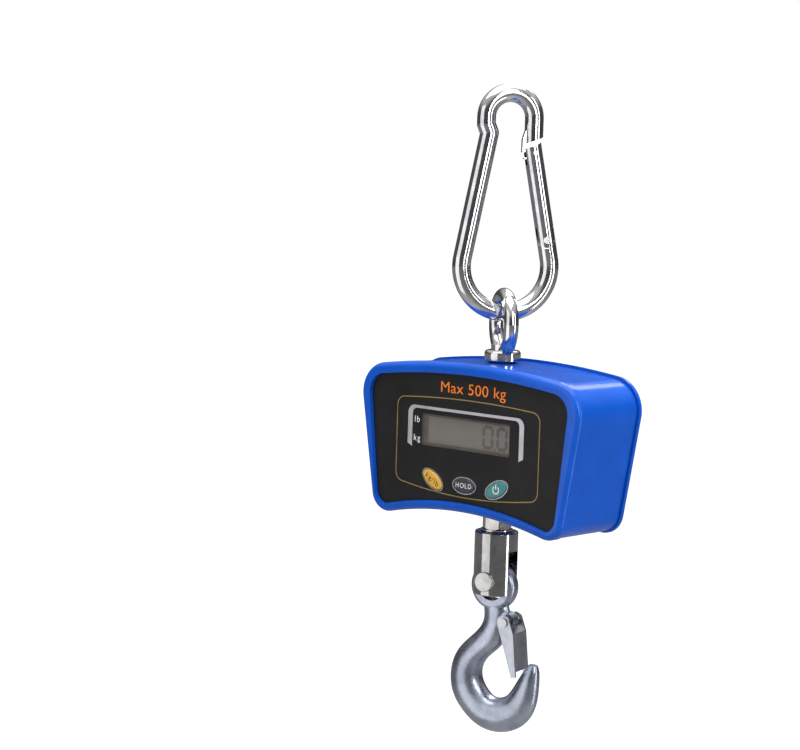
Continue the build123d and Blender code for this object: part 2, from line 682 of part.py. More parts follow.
def battery_contacts():
    """Plated contact plates above and below the cells."""
    wide = DOOR_WIDE - 3 - 2 * BOX_WALL
    x, z = BATTERY_X, HOUSING_Z + BATTERY_Z
    inner = (DOOR_HIGH - 4) / 2 - BOX_WALL
    plates = []
    for side in (-1, 1):
        low, high = sorted((side * (inner - 0.5), side * inner))
        plates.append(block(x - wide / 2, x + wide / 2, BATTERY_Y - 5, BATTERY_Y + 5, z + low, z + high))
    return group(plates)


def battery_door():
    """Flush door over the batteries, with finger grooves."""
    x, z = BATTERY_X, HOUSING_Z + BATTERY_Z
    shape = Pos(x, z) * RectangleRounded(DOOR_WIDE, DOOR_HIGH, 3)
    door = slab(shape, REAR_Y - 1.9, REAR_Y - 0.1)
    door = fillet(door.faces().sort_by(Axis.Y)[-1].edges(), 0.5)
    for step in range(5):
        door -= block(x - 9, x + 9, REAR_Y - 0.6, REAR_Y + 1, z - 18 + 2.4 * step, z - 17 + 2.4 * step)
    door -= rod(1.7, x, z + 26, REAR_Y - 3, REAR_Y + 1)
    return door - rod(3.0, x, z + 26, REAR_Y - 1.3, REAR_Y + 1)


def door_screw():
    """Captive screw at the top of the battery door."""
    x, z = BATTERY_X, HOUSING_Z + BATTERY_Z + 26
    head = rod(2.8, x, z, REAR_Y - 1.3, REAR_Y - 0.2)
    drive = block(x - 1.6, x + 1.6, REAR_Y - 0.8, REAR_Y, z - 0.35, z + 0.35)
    return head + rod(1.4, x, z, REAR_Y - 3.0, REAR_Y - 1.3) - drive


# ---------------------------------------------------------------- swivel
def swivel_bolt():
    """Bolt from the load cell down into the clevis, its round head inside."""
    head = post(BOLT_HEAD_R, BOLT_HEAD_TOP - BOLT_HEAD_HIGH, BOLT_HEAD_TOP)
    head = chamfer(head.edges().group_by(Axis.Z)[0], 0.8)
    return head + post(THREAD_R, BOLT_HEAD_TOP, CELL_BOTTOM + THREAD_DEPTH)


def lock_nut():
    """Hexagon nut under the housing."""
    shape = RegularPolygon(NUT_FLATS / 2, 6, major_radius=False)
    nut = Pos(0, 0, NUT_TOP - NUT_HIGH) * extrude(shape, amount=NUT_HIGH)
    trim = Pos(0, 0, NUT_TOP - NUT_HIGH) * extrude(Circle(NUT_FLATS / 2 * 1.13), amount=NUT_HIGH)
    trim = chamfer(trim.edges(), 0.9)
    return Rot(0, 0, 20) * ((nut & trim) - post(THREAD_R, -300, -200))


def bolt_sleeve():
    """Spacer sleeve between the load cell and the nut, through the housing."""
    return post(SLEEVE_R, NUT_TOP, CELL_BOTTOM) - post(THREAD_R, -300, -200)


def bottom_seal():
    """Rubber bush in the hole in the housing's bottom."""
    arch = HOUSING_Z - HALF_HIGH + BOTTOM_RISE
    return post(BOTTOM_SEAL_R, arch + 0.4, arch + WALL) - post(SLEEVE_R + 0.1, -300, -200)


def nut_washer():
    """Thin washer under the nut."""
    low = NUT_TOP - NUT_HIGH - 0.9
    return post(9.6, low, NUT_TOP - NUT_HIGH) - post(THREAD_R, -300, -200)


def thrust_washer():
    """Bronze ring between the bolt's head and the clevis."""
    return post(7.8, WEB_BOTTOM - 1.5, WEB_BOTTOM - 0.3) - post(THREAD_R + 0.05, -300, -200)


def hook_place(shape):
    """Turn a piece drawn in the X-Z plane into the hook's resting direction."""
    return Rot(0, 0, HOOK_YAW) * shape


def clevis():
    """Round fork that turns on the bolt and carries the hook's pin."""
    body = post(CLEVIS_R, CLEVIS_BOTTOM, CLEVIS_TOP)
    body = fillet(body.edges().filter_by(GeomType.CIRCLE).group_by(Axis.Z)[-1], 1.0)
    body = fillet(body.edges().filter_by(GeomType.CIRCLE).group_by(Axis.Z)[0], 0.8)
    half = SLOT_WIDE / 2
    body -= block(-20, 20, -half, half, CLEVIS_BOTTOM - 1, SLOT_TOP)
    pocket_bottom = BOLT_HEAD_TOP - BOLT_HEAD_HIGH - HEAD_SPACE
    body -= post(BOLT_HEAD_R + HEAD_SPACE, pocket_bottom, WEB_BOTTOM)
    body -= post(THREAD_R + 0.08, WEB_BOTTOM - 1, CLEVIS_TOP + 1)
    return hook_place(body - rod(PIN_R, 0, PIN_Z, -20, 20))


def clevis_pin():
    """Headed pin through the clevis and the hook's eye."""
    front = -CLEVIS_R - 1.6
    pin = rod(PIN_R, 0, PIN_Z, front + 0.2, CLEVIS_R + 0.4)
    bulk = post(CLEVIS_R, CLEVIS_BOTTOM, CLEVIS_TOP)
    head = fillet(rod(PIN_HEAD_R, 0, PIN_Z, front, -9).faces().sort_by(Axis.Y)[0].edges(), 0.5)
    tail = fillet(rod(PIN_HEAD_R - 0.5, 0, PIN_Z, 9, CLEVIS_R + 1.0).faces().sort_by(Axis.Y)[-1].edges(), 0.8)
    return hook_place(pin + (head - bulk) + (tail - bulk))


# ---------------------------------------------------------------- hook
HOOK_STATIONS = [                # (outer x, z), (inner x, z), thickness
    ((-6.4, -297.8), (8.0, -296.2), 9.2),
    ((-6.9, -309.4), (9.4, -311.3), 11.2),
    ((-15.0, -319.4), (6.4, -321.2), 13.2),
    ((-23.6, -329.1), (-0.6, -328.3), 15.0),
    ((-27.5, -341.6), (-7.2, -337.6), 16.4),
    ((-26.4, -352.5), (-6.6, -345.5), 17.0),
    ((-18.0, -365.4), (-2.4, -351.4), 17.4),
    ((-4.0, -374.0), (2.6, -354.2), 17.4),
    ((12.0, -373.8), (8.2, -353.4), 16.6),
    ((24.4, -366.2), (12.2, -350.6), 15.0),
    ((31.2, -350.0), (17.0, -343.4), 12.2),
    ((31.8, -338.0), (21.8, -335.6), 9.4),
    ((30.6, -331.2), (25.4, -330.6), 5.0),
]


def hook_section(outer, inner, thick):
    """One oval section of the forging, between an outer and an inner point."""
    across = Vector(outer[0] - inner[0], 0, outer[1] - inner[1])
    middle = ((outer[0] + inner[0]) / 2, 0, (outer[1] + inner[1]) / 2)
    along = across.cross(Vector(0, 1, 0))
    place = Plane(origin=middle, x_dir=across, z_dir=along)
    return place * Ellipse(across.length / 2, thick / 2)


def hook():
    """Forged eye hook: round eye, shank with a latch ear, and the bowl."""
    sections = [hook_section(*station) for station in HOOK_STATIONS]
    bowl = loft(sections)
    half = HOOK_EYE_THICK / 2
    eye = rod(HOOK_EYE_R, 0, HOOK_EYE_Z, -half, half)
    eye = fillet(eye.edges().filter_by(GeomType.CIRCLE), 3.4)
    ear = rod(5.0, LATCH_X - 1, LATCH_Z, -EAR_THICK / 2, EAR_THICK / 2)
    ear += block(2, LATCH_X - 1, -EAR_THICK / 2, EAR_THICK / 2, LATCH_Z - 5, LATCH_Z + 5)
    sides = [(EAR_THICK / 2, 20), (-20, -EAR_THICK / 2)]
    for y_front, y_rear in sides:
        bowl -= rod(5.4, LATCH_X, LATCH_Z, y_front, y_rear)
    body = bowl + ear + eye
    body -= rod(EYE_HOLE_R, 0, HOOK_EYE_Z, -20, 20)
    return hook_place(body - rod(LATCH_RIVET_R, LATCH_X, LATCH_Z, -20, 20))


def latch_cheek(y_front, y_rear):
    """One side of the latch: a round hub that tapers to the tip."""
    hub = Pos(LATCH_X, LATCH_Z) * Circle(4.2)
    blade = make_face(
        Polyline(
            (LATCH_X - 4.0, LATCH_Z - 1.2),
            (LATCH_X + 3.6, LATCH_Z + 2.2),
            (17.9, -312.9),
            (20.4, -338.1),
            (17.6, -338.7),
            (LATCH_X - 4.0, LATCH_Z - 1.2),
        )
    )
    return slab(hub + blade, y_front, y_rear)


def latch():
    """Sheet-steel safety latch: two cheeks and an outer web."""
    far = LATCH_INNER + LATCH_SHEET
    cheeks = latch_cheek(-far, -LATCH_INNER) + latch_cheek(LATCH_INNER, far)
    web_shape = make_face(
        Polyline((17.9, -312.9), (20.1, -335.0), (18.6, -335.1), (16.4, -313.1), (17.9, -312.9))
    )
    body = cheeks + slab(web_shape, -far, far)
    return hook_place(body - rod(LATCH_RIVET_R + RUNNING_GAP, LATCH_X, LATCH_Z, -20, 20))


def latch_rivet():
    """Rivet through the latch and the hook's ear."""
    far = LATCH_INNER + LATCH_SHEET + 0.3
    rivet = rod(LATCH_RIVET_R, LATCH_X, LATCH_Z, -far - 0.6, far + 0.6)
    heads = rod(2.9, LATCH_X, LATCH_Z, -far - 0.8, -far) + rod(2.9, LATCH_X, LATCH_Z, far, far + 0.8)
    return hook_place(rivet + heads)


def latch_spring():
    """Torsion spring round the rivet, one leg on the latch's web."""
    coil_r, wire_r, pitch = 2.8, 0.45, 1.0
    path = Helix(pitch=pitch, height=2.0, radius=coil_r)
    coil = sweep(Plane(origin=path @ 0, z_dir=path % 0) * Circle(wire_r), path=path, is_frenet=True)
    coil = Pos(LATCH_X, EAR_THICK / 2 + 2.6, LATCH_Z) * Rot(90, 0, 0) * coil
    return hook_place(coil)


# ---------------------------------------------------------------- write
NODES = {
    "carabiner_body": carabiner_body,
    "carabiner_gate": carabiner_gate,
    "gate_rivet": gate_rivet,
    "gate_pin": gate_pin,
    "gate_spring": gate_spring,
    "lifting_eye": lifting_eye,
    "eye_seal": eye_seal,
    "front_housing": front_housing,
    "rear_cover": rear_cover,
    "cover_seal": cover_seal,
    "cover_screws": cover_screws,
    "faceplate": faceplate,
    "display_window": display_window,
    "display_trim": display_trim,
    "button_rims": button_rims,
    "lcd_glass": lcd_glass,
    "lcd_holder": lcd_holder,
    "main_board": main_board,
    "board_chips": board_chips,
    "board_screws": board_screws,
    "tact_switches": tact_switches,
    "load_cell": load_cell,
    "gauge_cover": gauge_cover,
    "cell_lead": cell_lead,
    "battery_box": battery_box,
    "battery_cells": battery_cells,
    "battery_contacts": battery_contacts,
    "battery_lead": battery_lead,
    "battery_door": battery_door,
    "door_screw": door_screw,
    "swivel_bolt": swivel_bolt,
    "bolt_sleeve": bolt_sleeve,
    "bottom_seal": bottom_seal,
    "lock_nut": lock_nut,
    "nut_washer": nut_washer,
    "thrust_washer": thrust_washer,
    "clevis": clevis,
    "clevis_pin": clevis_pin,
    "hook": hook,
    "latch": latch,
    "latch_rivet": latch_rivet,
    "latch_spring": latch_spring,
}

for node, make in NODES.items():
    export_step(make(), f"parts/{node}.step")
for node in BUTTONS:
    export_step(button(node), f"parts/{node}.step")
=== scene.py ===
import json
from math import cos, hypot, radians, sin

import bmesh
import bpy
from mathutils import Matrix, Vector


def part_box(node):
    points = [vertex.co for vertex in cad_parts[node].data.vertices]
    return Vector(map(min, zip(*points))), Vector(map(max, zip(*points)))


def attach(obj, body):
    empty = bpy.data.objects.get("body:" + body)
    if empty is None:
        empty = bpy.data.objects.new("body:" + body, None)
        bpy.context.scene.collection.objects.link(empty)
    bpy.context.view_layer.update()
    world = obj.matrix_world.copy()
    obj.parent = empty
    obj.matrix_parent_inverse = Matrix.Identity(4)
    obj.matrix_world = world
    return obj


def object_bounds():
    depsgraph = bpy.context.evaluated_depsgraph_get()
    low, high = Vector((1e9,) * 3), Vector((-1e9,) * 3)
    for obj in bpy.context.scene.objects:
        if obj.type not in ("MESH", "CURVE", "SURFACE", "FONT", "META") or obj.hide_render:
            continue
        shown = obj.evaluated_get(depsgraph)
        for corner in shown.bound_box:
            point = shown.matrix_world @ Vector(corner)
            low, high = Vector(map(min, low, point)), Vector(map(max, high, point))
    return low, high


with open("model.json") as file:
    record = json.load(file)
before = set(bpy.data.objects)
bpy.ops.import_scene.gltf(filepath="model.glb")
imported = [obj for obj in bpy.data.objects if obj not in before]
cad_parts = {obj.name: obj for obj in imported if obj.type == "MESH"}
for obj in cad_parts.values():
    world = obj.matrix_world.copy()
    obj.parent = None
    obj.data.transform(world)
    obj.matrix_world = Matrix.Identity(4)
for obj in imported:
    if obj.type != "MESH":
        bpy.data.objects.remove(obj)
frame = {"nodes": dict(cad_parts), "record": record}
CAD_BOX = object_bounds()

MM = 0.001
WHITE = (1.0, 1.0, 1.0)

# Places worked out from the frame, in metres.
PANEL_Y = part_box("faceplate")[0].y
CAP_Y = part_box("units_button")[0].y
GLASS_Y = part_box("lcd_glass")[0].y
WINDOW_LOW, WINDOW_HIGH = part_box("display_window")
FLANGE = 1.2 * MM                # the lens's hidden edge, round the visible window
HOUSING_Z = -205.1 * MM          # middle height of the housing, as in the CAD
INK = 0.04 * MM                  # thickness of printed marks
SHADOW_LINER_INSET = FLANGE + 0.81 * MM  # from the lens's edge to the dark liner behind it, which paints the frame's shadow
SHADOW_LINER_WALL = 0.7 * MM
MASK_COVER = FLANGE + 1.3 * MM   # how far the printed frame reaches in from the lens's edge
MASK_EDGE = 0.1 * MM             # bare rim left round the printed frame
CAPITAL = 0.72                   # height of a capital as a share of the font's size
FLOOR_DROP = 0.7                 # the scale hangs this high above the floor, in metres
FLOOR_SIZE = 30

# Sizes on the panel, in millimetres from the housing's middle.
BORDER_SIDE = 56.35              # half width of the thin border
BORDER_CORNER = 6.0
BORDER_LINE = 0.62               # its line's thickness
BORDER_TOP = (31.6, 29.6)        # height of its top edge, in the middle and at the ends
BORDER_FOOT = (-26.2, -22.2)     # height of its bottom edge, in the middle and at the ends
DIGIT_WIDE = 6.6                 # between the middles of a figure's upright strokes
DIGIT_HIGH = 12.0
DIGIT_FOOT = 4.9                 # height of the lowest stroke's middle
STROKE = 2.2                     # width of a figure's strokes
STROKE_GAP = 0.12
POWER_SIGN = (25.7, -18.0)       # middle of the power sign
POWER_RING = (1.9, 2.5)          # its inner and outer radius

# The camera, solved from the housing's outline.
VIEW_ANGLES = (44.268, 5.364, 1.649)         # azimuth, elevation and roll, in degrees
VIEW_PLACE = (0.78322, -0.88987, -0.05083)   # in metres
VIEW_LENS = 90.41                            # focal length in millimetres, on a 36 mm sensor


# ---------------------------------------------------------------- node helpers
def new_material(name):
    """An empty material with a Principled shader; returns it with its node tools."""
    mat = bpy.data.materials.new(name)
    mat.use_nodes = True
    tree = mat.node_tree
    shader = tree.nodes["Principled BSDF"]
    place = tree.nodes.new("ShaderNodeTexCoord")
    return mat, tree, shader, place.outputs["Object"]


def noise(tree, vector, scale, detail=3.0, rough=0.5, stretch=None):
    """A noise value, optionally stretched along an axis."""
    if stretch:
        mapping = tree.nodes.new("ShaderNodeMapping")
        mapping.inputs["Scale"].default_value = stretch
        tree.links.new(vector, mapping.inputs["Vector"])
        vector = mapping.outputs["Vector"]
    node = tree.nodes.new("ShaderNodeTexNoise")
    node.inputs["Scale"].default_value = scale
    node.inputs["Detail"].default_value = detail
    node.inputs["Roughness"].default_value = rough
    tree.links.new(vector, node.inputs["Vector"])
    return node.outputs["Fac"]


def ramp(tree, value, stops):
    """A colour ramp through (place, colour) stops; a number makes a grey."""
    node = tree.nodes.new("ShaderNodeValToRGB")
    elements = node.color_ramp.elements
    while len(elements) < len(stops):
        elements.new(0.5)
    for element, (place, colour) in zip(elements, stops):
        if isinstance(colour, (int, float)):
            colour = (colour, colour, colour)
        element.position = place
        element.color = (*colour, 1.0)
    tree.links.new(value, node.inputs["Fac"])
    return node.outputs["Color"]


def mix(tree, factor, first, second):
    """Mix two colour sockets by a number."""
    node = tree.nodes.new("ShaderNodeMix")
    node.data_type = "RGBA"
    node.inputs[0].default_value = factor
    tree.links.new(first, node.inputs[6])
    tree.links.new(second, node.inputs[7])
    return node.outputs[2]


def bump(tree, shader, height, strength, distance):
    """Add a bump on top of any bump that the shader already has."""
    node = tree.nodes.new("ShaderNodeBump")
    node.inputs["Strength"].default_value = strength
    node.inputs["Distance"].default_value = distance
    normal = shader.inputs["Normal"]
    if normal.links:
        tree.links.new(normal.links[0].from_socket, node.inputs["Normal"])
    tree.links.new(height, node.inputs["Height"])
    tree.links.new(node.outputs["Normal"], normal)


# ---------------------------------------------------------------- materials
def glossy_plastic(name, dark, light, rough=0.2, coat=0.12):
    """Moulded gloss plastic: faint flow marks, orange peel and fine scuffs."""
    mat, tree, shader, place = new_material(name)
    flow = noise(tree, place, 45, 4, 0.6)
    tree.links.new(ramp(tree, flow, [(0.3, dark), (0.7, light)]), shader.inputs["Base Color"])
    scuffs = noise(tree, place, 900, 5, 0.7, (1, 0.12, 1))
    smear = noise(tree, place, 30, 5, 0.65)
    both = mix(tree, 0.35, ramp(tree, smear, [(0.3, rough * 0.8), (0.75, rough * 1.35)]),
               ramp(tree, scuffs, [(0.55, rough * 0.8), (0.8, rough * 2.2)]))
    tree.links.new(both, shader.inputs["Roughness"])
    shader.inputs["Coat Weight"].default_value = coat
    shader.inputs["Coat Roughness"].default_value = 0.08
    shader.inputs["Specular IOR Level"].default_value = 0.2
    bump(tree, shader, noise(tree, place, 500, 2), 0.06, 0.0004)
    bump(tree, shader, noise(tree, place, 60, 2), 0.05, 0.002)
    return mat


def satin_plastic(name, dark, light, rough=0.45, grain=1400, shine=0.25):
    """Moulded or printed plastic with a fine matt grain."""
    mat, tree, shader, place = new_material(name)
    cloud = noise(tree, place, 60, 5, 0.6)
    tree.links.new(ramp(tree, cloud, [(0.3, dark), (0.7, light)]), shader.inputs["Base Color"])
    shader.inputs["Specular IOR Level"].default_value = shine
    fine = noise(tree, place, grain, 3, 0.6)
    gloss = ramp(tree, fine, [(0.3, rough * 0.85), (0.7, rough * 1.15)])
    tree.links.new(gloss, shader.inputs["Roughness"])
    bump(tree, shader, fine, 0.12, 0.0002)
    return mat


def plated_metal(name, dark, light, rough=(0.06, 0.2), pits=0.08, grain=260):
    """Plated metal: cloudy tint, patchy gloss, hairline scratches and soft pits."""
    mat, tree, shader, place = new_material(name)
    shader.inputs["Metallic"].default_value = 1.0
    cloud = noise(tree, place, grain * 0.35, 5, 0.65)
    tree.links.new(ramp(tree, cloud, [(0.3, dark), (0.68, light)]), shader.inputs["Base Color"])
    patch = noise(tree, place, grain, 6, 0.7)
    scratch = noise(tree, place, 1500, 3, 0.6, (1, 1, 0.06))
    smooth = ramp(tree, patch, [(0.32, rough[0]), (0.72, rough[1])])
    lines = ramp(tree, scratch, [(0.5, rough[0]), (0.75, rough[1] * 1.3)])
    tree.links.new(mix(tree, 0.4, smooth, lines), shader.inputs["Roughness"])
    bump(tree, shader, noise(tree, place, grain * 1.6, 4, 0.6), pits, 0.0005)
    bump(tree, shader, scratch, pits * 0.35, 0.0002)
    return mat


def rubber(name, colour):
    """Moulded rubber with a dusty bloom."""
    light = tuple(channel * 1.8 + 0.01 for channel in colour)
    return satin_plastic(name, colour, light, 0.7, 800)


def clear_lens(name):
    """Thin clear lens: nearly transparent, with a glossy face and faint haze."""
    mat, tree, shader, place = new_material(name)
    shader.inputs["Base Color"].default_value = (0.30, 0.28, 0.26, 1.0)
    haze = noise(tree, place, 70, 4, 0.6)
    tree.links.new(ramp(tree, haze, [(0.35, 0.04), (0.75, 0.11)]), shader.inputs["Roughness"])
    tree.links.new(ramp(tree, haze, [(0.3, 0.14), (0.8, 0.22)]), shader.inputs["Alpha"])
    bump(tree, shader, haze, 0.03, 0.0005)
    return mat


def liquid_crystal(name):
    """Grey-brown liquid crystal cell with a faint mottle."""
    mat, tree, shader, place = new_material(name)
    cloud = noise(tree, place, 40, 4, 0.6)
    tree.links.new(
        ramp(tree, cloud, [(0.3, (0.165, 0.150, 0.130)), (0.7, (0.190, 0.178, 0.160))]),
        shader.inputs["Base Color"],
    )
    grain = noise(tree, place, 2500, 2)
    tree.links.new(ramp(tree, grain, [(0.3, 0.3), (0.7, 0.42)]), shader.inputs["Roughness"])
    bump(tree, shader, grain, 0.05, 0.0001)
    return mat


def circuit_board(name):
    """Green solder mask with copper tracks showing through."""
    mat, tree, shader, place = new_material(name)
    cells = tree.nodes.new("ShaderNodeTexVoronoi")
    cells.feature = "DISTANCE_TO_EDGE"
    cells.inputs["Scale"].default_value = 260
    tree.links.new(place, cells.inputs["Vector"])
    copper, mask = (0.03, 0.22, 0.09), (0.012, 0.12, 0.045)
    tracks = ramp(tree, cells.outputs["Distance"], [(0.02, copper), (0.10, mask)])
    tree.links.new(tracks, shader.inputs["Base Color"])
    gloss = ramp(tree, noise(tree, place, 300, 3), [(0.3, 0.25), (0.7, 0.45)])
    tree.links.new(gloss, shader.inputs["Roughness"])
    bump(tree, shader, cells.outputs["Distance"], 0.15, 0.0002)
    return mat


BLUE_DARK = (0.0040, 0.076, 0.46)
BLUE_LIGHT = (0.0060, 0.094, 0.56)

LOOKS = {                        # each slot's kind of material and that kind's settings
    "snap_hook_steel": (plated_metal, (0.46, 0.46, 0.48), (0.70, 0.70, 0.72), (0.06, 0.18)),
    "gate_steel": (plated_metal, (0.44, 0.44, 0.46), (0.66, 0.66, 0.68), (0.06, 0.18)),
    "pin_steel": (plated_metal, (0.34, 0.34, 0.36), (0.52, 0.52, 0.53), (0.2, 0.4)),
    "spring_steel": (plated_metal, (0.22, 0.22, 0.24), (0.42, 0.42, 0.45), (0.2, 0.4)),
    "eye_chrome": (plated_metal, (0.46, 0.45, 0.46), (0.70, 0.69, 0.70), (0.05, 0.16)),
    "rubber_black": (rubber, (0.012, 0.012, 0.014)),
    "housing_blue": (glossy_plastic, BLUE_DARK, BLUE_LIGHT),
    "cover_blue": (glossy_plastic, BLUE_DARK, BLUE_LIGHT, 0.26),
    "door_blue": (glossy_plastic, BLUE_DARK, BLUE_LIGHT, 0.32, 0.25),
    "screw_zinc": (plated_metal, (0.45, 0.46, 0.50), (0.68, 0.70, 0.74), (0.2, 0.38)),
    "panel_black": (satin_plastic, (0.0085, 0.0078, 0.0085), (0.0135, 0.0125, 0.0138), 0.36, 1800, 0.2),
    "window_clear": (clear_lens,),
    "trim_silver": (plated_metal, (0.52, 0.51, 0.54), (0.66, 0.65, 0.69), (0.32, 0.5), 0.04),
    "rim_silver": (plated_metal, (0.46, 0.46, 0.48), (0.66, 0.66, 0.68), (0.15, 0.3), 0.04),
    "lcd_grey": (liquid_crystal,),
    "holder_white": (satin_plastic, (0.62, 0.62, 0.60), (0.74, 0.74, 0.72)),
    "board_green": (circuit_board,),
    "chip_black": (satin_plastic, (0.015, 0.015, 0.016), (0.03, 0.03, 0.032), 0.5),
    "switch_black": (satin_plastic, (0.02, 0.02, 0.02), (0.04, 0.04, 0.04), 0.5),
    "cell_steel": (plated_metal, (0.42, 0.42, 0.44), (0.60, 0.60, 0.62), (0.25, 0.4), 0.06),
    "gauge_silver": (plated_metal, (0.5, 0.5, 0.52), (0.7, 0.7, 0.72), (0.3, 0.45), 0.05),
    "lead_grey": (rubber, (0.05, 0.05, 0.052)),
    "tray_black": (satin_plastic, (0.015, 0.015, 0.015), (0.03, 0.03, 0.03)),
    "battery_wrap": (glossy_plastic, (0.02, 0.02, 0.02), (0.05, 0.05, 0.05), 0.3),
    "contact_nickel": (plated_metal, (0.5, 0.49, 0.46), (0.68, 0.67, 0.63), (0.2, 0.35)),
    "bolt_steel": (plated_metal, (0.20, 0.19, 0.19), (0.34, 0.33, 0.33), (0.15, 0.3)),
    "nut_zinc": (plated_metal, (0.36, 0.34, 0.33), (0.58, 0.55, 0.53), (0.12, 0.28)),
    "bronze": (plated_metal, (0.42, 0.27, 0.12), (0.58, 0.40, 0.19), (0.25, 0.4)),
    "clevis_chrome": (plated_metal, (0.30, 0.29, 0.29), (0.48, 0.47, 0.47), (0.04, 0.13), 0.05),
    "clevis_pin_steel": (plated_metal, (0.38, 0.38, 0.37), (0.54, 0.54, 0.52), (0.3, 0.45), 0.10),
    "hook_zinc": (plated_metal, (0.24, 0.265, 0.33), (0.43, 0.46, 0.54), (0.24, 0.44), 0.16, 160),
    "latch_zinc": (plated_metal, (0.30, 0.32, 0.36), (0.46, 0.48, 0.53), (0.30, 0.5), 0.14, 200),
    "button_yellow": (glossy_plastic, (0.60, 0.32, 0.035), (0.72, 0.40, 0.060), 0.3),
    "button_grey": (glossy_plastic, (0.036, 0.034, 0.042), (0.060, 0.056, 0.068), 0.3),
    "button_teal": (glossy_plastic, (0.050, 0.20, 0.20), (0.075, 0.26, 0.26), 0.3),
}
MATERIALS = {name: maker(name, *settings) for name, (maker, *settings) in LOOKS.items()}

slots = {row["node"]: row["material_slot"] for row in frame["record"]["subparts"]}
for node, obj in frame["nodes"].items():
    obj.data.materials.clear()
    obj.data.materials.append(MATERIALS[slots[node]])


# ---------------------------------------------------------------- printed marks, and the liner that paints the window frame's shadow
def panel_point(x, z):
    """A place on the display's face, given in millimetres from its middle."""
    return (x * MM, HOUSING_Z + z * MM)


def solid_between(name, outline, hole, y_front, y_back, material, body="scale"):
    """A thin piece between two depths, from an outline in x and z and maybe a hole."""
    mesh = bmesh.new()
    loops = [outline] + ([hole] if hole else [])
    fronts = []
    for loop in loops:
        fronts.append([mesh.verts.new((x, y_front, z)) for x, z in loop])
    if hole:
        count = len(outline)
        for i in range(count):
            j = (i + 1) % count
            mesh.faces.new((fronts[0][i], fronts[0][j], fronts[1][j], fronts[1][i]))
    else:
        mesh.faces.new(fronts[0])
    made = bmesh.ops.extrude_face_region(mesh, geom=mesh.faces[:])
    moved = [item for item in made["geom"] if isinstance(item, bmesh.types.BMVert)]
    bmesh.ops.translate(mesh, verts=moved, vec=(0, y_back - y_front, 0))
    bmesh.ops.recalc_face_normals(mesh, faces=mesh.faces[:])
    data = bpy.data.meshes.new(name)
    mesh.to_mesh(data)
    mesh.free()
    data.materials.append(material)
    obj = bpy.data.objects.new(name, data)
    bpy.context.collection.objects.link(obj)
    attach(obj, body)


def arc(centre, radius, start, end, steps=10):
    """Points along an arc in x and z, the angles in degrees from +x."""
    points = []
    for step in range(steps + 1):
        angle = radians(start + (end - start) * step / steps)
        points.append((centre[0] + radius * cos(angle), centre[1] + radius * sin(angle)))
    return points


def rounded_box(x, z, wide, high, radius):
    """A closed rounded rectangle about a middle point."""
    right, up = wide / 2 - radius, high / 2 - radius
    corners = [(right, up, 0), (-right, up, 90), (-right, -up, 180), (right, -up, 270)]
    points = []
    for dx, dz, turn in corners:
        points += arc((x + dx, z + dz), radius, turn, turn + 90, 6)
    return points


def bowed(x_start, x_end, z_end, z_middle, steps=14):
    """Points along a shallow bow between two ends, without the ends."""
    points = []
    for step in range(1, steps):
        along = step / steps
        rise = 4 * along * (1 - along)
        points.append((x_start + (x_end - x_start) * along, z_end + (z_middle - z_end) * rise))
    return points


def border_line(inset):
    """The thin border's outline: crowned top, upright sides and a bowed bottom."""
    top_middle, top_end = BORDER_TOP
    low_middle, low_end = BORDER_FOOT
    reach = BORDER_SIDE - BORDER_CORNER
    high, low = top_end - BORDER_CORNER, low_end + BORDER_CORNER
    corner = BORDER_CORNER - inset
    points = arc((reach, high), corner, 0, 90)
    points += bowed(reach, -reach, top_end - inset, top_middle - inset)
    points += arc((-reach, high), corner, 90, 180)
    points += arc((-reach, low), corner, 180, 270)
    points += bowed(-reach, reach, low_end + inset, low_middle + inset)
    points += arc((reach, low), corner, 270, 360)
    return [panel_point(x, z) for x, z in points]


def lettering(
    name, words, x, z, high, material,
    body="scale", face=PANEL_Y, turn=0.0, wide=1.0, spacing=1.25,
):
    """Generic printed words, centred on a place on the display's face."""
    data = bpy.data.curves.new(name, "FONT")
    data.body = words
    data.size = high * MM / CAPITAL
    data.extrude = INK / 2
    data.space_character = spacing
    data.align_x = "CENTER"
    data.align_y = "CENTER"
    data.materials.append(material)
    obj = bpy.data.objects.new(name, data)
    bpy.context.collection.objects.link(obj)
    place_x, place_z = panel_point(x, z)
    obj.location = (place_x, face - INK / 2, place_z)
    obj.rotation_euler = (radians(90), radians(-turn), 0)
    obj.scale = (wide, 1, 1)
    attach(obj, body)


SEGMENTS = {                     # seven-segment strokes: (from, to) on a 1 by 2 grid
    "top": ((0, 2), (1, 2)),
    "upper_left": ((0, 1), (0, 2)),
    "upper_right": ((1, 1), (1, 2)),
    "lower_left": ((0, 0), (0, 1)),
    "lower_right": ((1, 0), (1, 1)),
    "foot": ((0, 0), (1, 0)),
}


def stroke(start, end, width, gap):
    """One pointed stroke of a seven-segment figure."""
    length = hypot(end[0] - start[0], end[1] - start[1])
    along = ((end[0] - start[0]) / length, (end[1] - start[1]) / length)
    across = (-along[1], along[0])
    half = width / 2
    corners = [(gap, 0), (gap + half, half), (length - gap - half, half)]
    corners += [(length - gap, 0), (length - gap - half, -half), (gap + half, -half)]
    return [
        (start[0] + a * along[0] + b * across[0], start[1] + a * along[1] + b * across[1])
        for a, b in corners
    ]


def lcd_zero(index, x):
    """A figure nought on the display, its left edge at x."""
    left = x + STROKE / 2
    for name, ends in SEGMENTS.items():
        start, end = [(left + gx * DIGIT_WIDE, DIGIT_FOOT + gz * DIGIT_HIGH / 2) for gx, gz in ends]
        outline = [panel_point(*point) for point in stroke(start, end, STROKE, STROKE_GAP)]
        solid_between(f"digit_{index}_{name}", outline, None, GLASS_Y - INK, GLASS_Y, MARKS["lcd_ink"])


